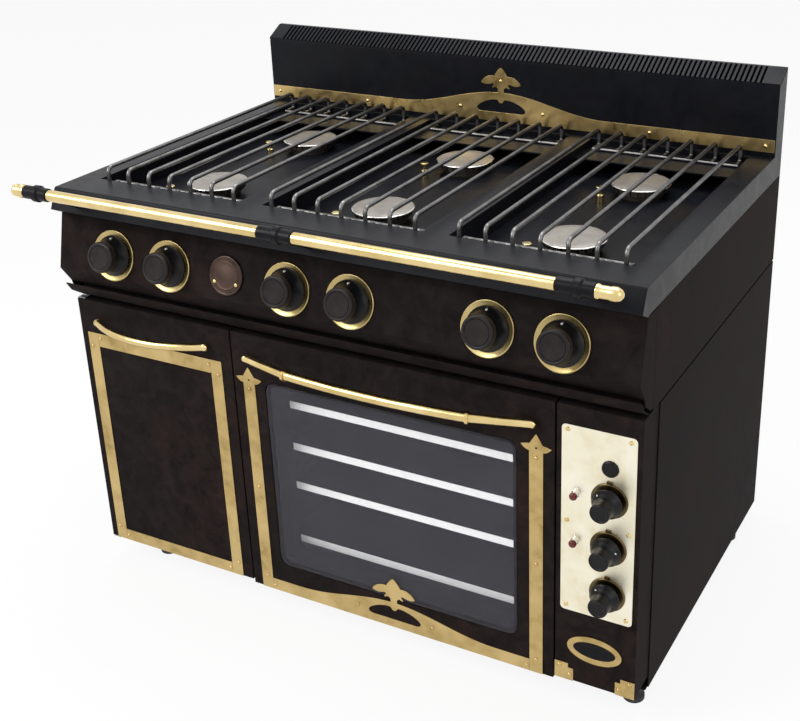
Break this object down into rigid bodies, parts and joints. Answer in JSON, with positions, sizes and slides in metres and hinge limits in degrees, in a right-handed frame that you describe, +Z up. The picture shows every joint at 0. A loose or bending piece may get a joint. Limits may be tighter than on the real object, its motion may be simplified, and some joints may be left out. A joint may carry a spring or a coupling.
{
  "type": "range cooker",
  "caption": "Wide brass-trimmed range cooker with gas burners under rod grates, glazed drop-down oven door, side cupboard, control column and front rail.",
  "frame": {"origin": "middle of the cooker's footprint on the floor, rail and knobs included", "axes": "+X to the right along the front, +Y to the rear, +Z up"},
  "size_m": [1.2, 0.8955, 1.0197],
  "materials": {
    "casing_enamel": "satin brown-black stoved enamel",
    "hob_enamel": "glossy blue-black vitreous enamel",
    "polished_brass": "aged polished brass",
    "plate_brass": "pale brushed brass",
    "bronze": "dark cast bronze",
    "black_fittings": "black satin paint",
    "knob_black": "dark brown-black satin phenolic",
    "grate_steel": "bare steel rod",
    "burner_alloy": "cast burner alloy",
    "burner_cap_steel": "satin steel caps",
    "oven_glass": "tinted, finely speckled glass",
    "tray_aluminium": "bright aluminium",
    "oven_liner": "speckled grey oven enamel",
    "rack_chrome": "chromed wire",
    "insulation_wool": "mineral wool",
    "seal_rubber": "woven heat seal",
    "lamp_red": "dark red lens",
    "lamp_body": "bright lamp body",
    "switch_plastic": "moulded switch bodies",
    "zinc_steel": "zinc-plated steel",
    "foot_rubber": "black feet"
  },
  "bodies": {
    "casing": {"feet": "foot_rubber", "base_panel": "casing_enamel", "side_panels": "casing_enamel", "rear_panel": "casing_enamel", "inner_panels": "casing_enamel", "oven_cavity": "oven_liner", "oven_insulation": "insulation_wool", "door_gasket": "seal_rubber", "rack_rails": "rack_chrome", "baking_trays": "tray_aluminium", "fan_baffle": "oven_liner", "heating_ring": "zinc_steel", "fan_motor": "zinc_steel", "control_cover": "casing_enamel", "control_plate": "plate_brass", "panel_plates": "polished_brass", "indicator_lamps": "lamp_body", "lamp_lenses": "lamp_red", "knob_rings": "bronze", "oven_switches": "switch_plastic", "upper_body": "casing_enamel", "control_panel": "casing_enamel", "knob_bezels": "polished_brass", "medallion": "bronze", "gas_manifold": "polished_brass", "cooktop": "hob_enamel", "burner_pans": "hob_enamel", "burner_bodies": "burner_alloy", "burner_caps": "burner_cap_steel", "pilot_burners": "polished_brass", "backguard": "hob_enamel", "vent_cap": "hob_enamel", "backguard_trim": "polished_brass", "body_fasteners": "polished_brass", "rail": "polished_brass", "rail_brackets": "black_fittings", "door_hinges": "zinc_steel"},
    "oven_door": {"oven_door": "casing_enamel", "oven_door_liner": "oven_liner", "oven_glass": "oven_glass", "oven_door_trim": "polished_brass", "oven_handle": "polished_brass"},
    "cabinet_door": {"cabinet_door": "casing_enamel", "cabinet_door_trim": "polished_brass", "cabinet_handle": "polished_brass"},
    "hob_knob_1": {"hob_knob_1": "knob_black"},
    "hob_knob_2": {"hob_knob_2": "knob_black"},
    "hob_knob_3": {"hob_knob_3": "knob_black"},
    "hob_knob_4": {"hob_knob_4": "knob_black"},
    "hob_knob_5": {"hob_knob_5": "knob_black"},
    "hob_knob_6": {"hob_knob_6": "knob_black"},
    "oven_knob_1": {"oven_knob_1": "knob_black"},
    "oven_knob_2": {"oven_knob_2": "knob_black"},
    "oven_knob_3": {"oven_knob_3": "knob_black"},
    "push_button": {"push_button": "knob_black"},
    "grate_1": {"grate_1": "grate_steel"},
    "grate_2": {"grate_2": "grate_steel"},
    "grate_3": {"grate_3": "grate_steel"},
    "drip_tray": {"drip_tray": "casing_enamel"},
    "fan": {"fan": "zinc_steel"}
  },
  "joints": [
    {"name": "oven_door_hinge", "type": "hinge", "parent": "casing", "child": "oven_door", "pos_m": [0.1105, -0.28625, 0.07], "axis": [1, 0, 0], "range_deg": [0, 85]},
    {"name": "cabinet_door_hinge", "type": "hinge", "parent": "casing", "child": "cabinet_door", "pos_m": [-0.589, -0.30725, 0.3], "axis": [0, 0, -1], "range_deg": [0, 110]},
    {"name": "hob_knob_1_turn", "type": "hinge", "parent": "casing", "child": "hob_knob_1", "pos_m": [-0.464, -0.33672, 0.7326], "axis": [0, -0.9724, 0.2334], "range_deg": [0, 210]},
    {"name": "hob_knob_2_turn", "type": "hinge", "parent": "casing", "child": "hob_knob_2", "pos_m": [-0.331, -0.33672, 0.7326], "axis": [0, -0.9724, 0.2334], "range_deg": [0, 210]},
    {"name": "hob_knob_3_turn", "type": "hinge", "parent": "casing", "child": "hob_knob_3", "pos_m": [-0.066, -0.33672, 0.7326], "axis": [0, -0.9724, 0.2334], "range_deg": [0, 210]},
    {"name": "hob_knob_4_turn", "type": "hinge", "parent": "casing", "child": "hob_knob_4", "pos_m": [0.066, -0.33672, 0.7326], "axis": [0, -0.9724, 0.2334], "range_deg": [0, 210]},
    {"name": "hob_knob_5_turn", "type": "hinge", "parent": "casing", "child": "hob_knob_5", "pos_m": [0.331, -0.33672, 0.7326], "axis": [0, -0.9724, 0.2334], "range_deg": [0, 210]},
    {"name": "hob_knob_6_turn", "type": "hinge", "parent": "casing", "child": "hob_knob_6", "pos_m": [0.464, -0.33672, 0.7326], "axis": [0, -0.9724, 0.2334], "range_deg": [0, 210]},
    {"name": "oven_knob_1_turn", "type": "hinge", "parent": "casing", "child": "oven_knob_1", "pos_m": [0.54305, -0.31625, 0.451], "axis": [0, -1, 0], "range_deg": [-270, 0]},
    {"name": "oven_knob_2_turn", "type": "hinge", "parent": "casing", "child": "oven_knob_2", "pos_m": [0.54305, -0.31625, 0.357], "axis": [0, -1, 0], "range_deg": [-270, 0]},
    {"name": "oven_knob_3_turn", "type": "hinge", "parent": "casing", "child": "oven_knob_3", "pos_m": [0.54305, -0.31625, 0.263], "axis": [0, -1, 0], "range_deg": [-270, 0]},
    {"name": "push_button_press", "type": "slide", "parent": "casing", "child": "push_button", "axis": [0, 1, 0], "range_m": [0, 0.003], "stiffness_N_per_m": 600, "springref_m": -0.0005},
    {"name": "grate_1_lift", "type": "slide", "parent": "casing", "child": "grate_1", "axis": [0, 0, 1], "range_m": [0, 0.12]},
    {"name": "grate_2_lift", "type": "slide", "parent": "casing", "child": "grate_2", "axis": [0, 0, 1], "range_m": [0, 0.12]},
    {"name": "grate_3_lift", "type": "slide", "parent": "casing", "child": "grate_3", "axis": [0, 0, 1], "range_m": [0, 0.12]},
    {"name": "drip_tray_slide", "type": "slide", "parent": "casing", "child": "drip_tray", "axis": [0, -1, 0], "range_m": [0, 0.45]},
    {"name": "fan_spin", "type": "hinge", "parent": "casing", "child": "fan", "pos_m": [0.1105, 0.24725, 0.324], "axis": [0, 1, 0], "continuous": true}
  ]
}
